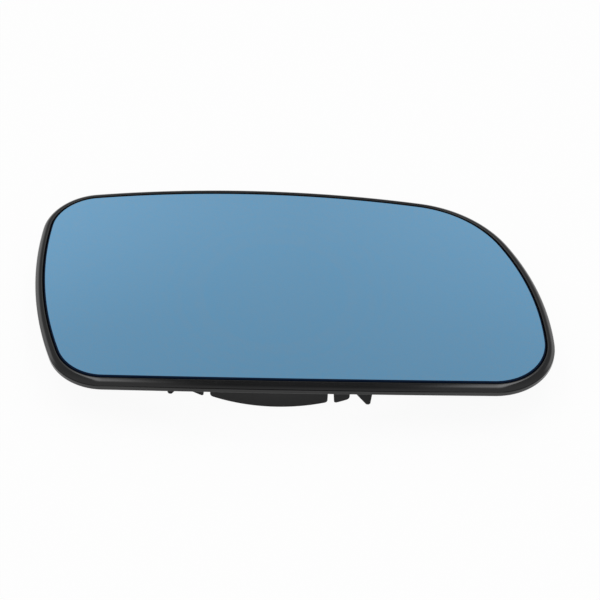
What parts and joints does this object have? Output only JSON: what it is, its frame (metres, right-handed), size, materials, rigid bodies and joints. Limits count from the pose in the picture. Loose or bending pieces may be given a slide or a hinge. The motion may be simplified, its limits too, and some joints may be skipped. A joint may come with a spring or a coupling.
{
  "type": "door mirror glass with carrier",
  "caption": "Blue-tinted convex mirror glass bonded to a black moulded carrier, with a clip frame on its back that snaps onto a door mirror's adjuster.",
  "frame": {"origin": "on the adjuster axis, at the mouth of the centre socket, in the plane of the seat that the adjuster's plate lands on", "axes": "+Z out of the mirror face, +X along the mirror's length to its tapered outer end, +Y to its top edge"},
  "size_m": [0.1892, 0.1032, 0.022],
  "materials": {
    "carrier": "satin black moulded plastic, lightly polished on the lip",
    "adhesive_pad": "dark double-sided foam tape",
    "mirror_glass": "blue-tinted polished mirror glass, silvered on its back"
  },
  "bodies": {
    "root": {"carrier": "carrier", "adhesive_pad": "adhesive_pad", "mirror_glass": "mirror_glass"}
  },
  "joints": []
}
